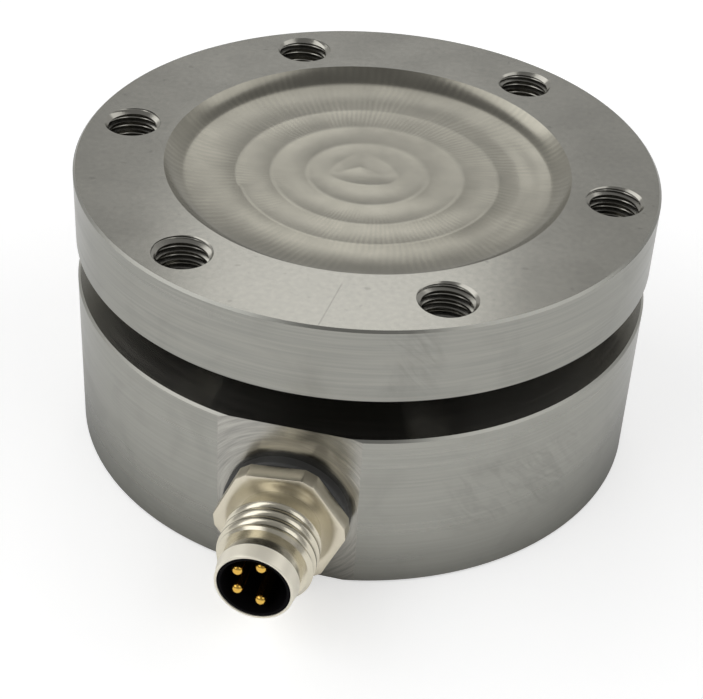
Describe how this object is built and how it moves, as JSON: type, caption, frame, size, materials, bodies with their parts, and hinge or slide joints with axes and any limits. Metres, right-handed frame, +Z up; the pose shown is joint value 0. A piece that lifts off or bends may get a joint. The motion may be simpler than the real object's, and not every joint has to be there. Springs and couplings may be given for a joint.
{
  "type": "flange load cell",
  "caption": "Round stainless flange load cell: grooved turned body, dished top, tapped bolt circle and a side plug connector; measures axial tension or compression.",
  "frame": {"origin": "centre of the base's bolt circle on the bottom face", "axes": "+Z up along the load axis to the flange's top face, -Y out along the plug connector"},
  "size_m": [0.05, 0.059, 0.0255],
  "materials": {
    "stainless_steel": "turned satin",
    "screw_steel": "bright",
    "nickel_plate": "nickel plated",
    "gold_plate": "gold plated",
    "black_plastic": "moulded",
    "seal_rubber": "matte",
    "board_laminate": "solder mask",
    "nylon": "moulded",
    "gauge_film": "film",
    "chip_ceramic": "glazed",
    "enamelled_copper": "enamelled",
    "potting_resin": "cast",
    "wire_brown": "extruded",
    "wire_white": "extruded",
    "wire_blue": "extruded",
    "wire_black": "extruded"
  },
  "bodies": {
    "root": {"sensing_body": "stainless_steel", "bottom_cover": "stainless_steel", "cover_screws": "screw_steel", "board_screw": "screw_steel", "cover_seal": "seal_rubber", "connector_seal": "seal_rubber", "connector_shell": "nickel_plate", "contact_carrier": "black_plastic", "connector_potting": "potting_resin", "terminal_board": "board_laminate", "board_spacer": "nylon", "gauge_leads": "enamelled_copper", "span_resistor_1": "chip_ceramic", "span_resistor_2": "chip_ceramic", "zero_balance_resistor": "chip_ceramic", "zero_drift_resistor": "chip_ceramic", "strain_gauge_1": "gauge_film", "strain_gauge_2": "gauge_film", "strain_gauge_3": "gauge_film", "strain_gauge_4": "gauge_film", "strain_gauge_5": "gauge_film", "strain_gauge_6": "gauge_film", "strain_gauge_7": "gauge_film", "strain_gauge_8": "gauge_film", "contact_pin_1": "gold_plate", "contact_pin_2": "gold_plate", "contact_pin_3": "gold_plate", "contact_pin_4": "gold_plate", "lead_wire_1": "wire_brown", "lead_wire_2": "wire_white", "lead_wire_3": "wire_blue", "lead_wire_4": "wire_black"}
  },
  "joints": []
}
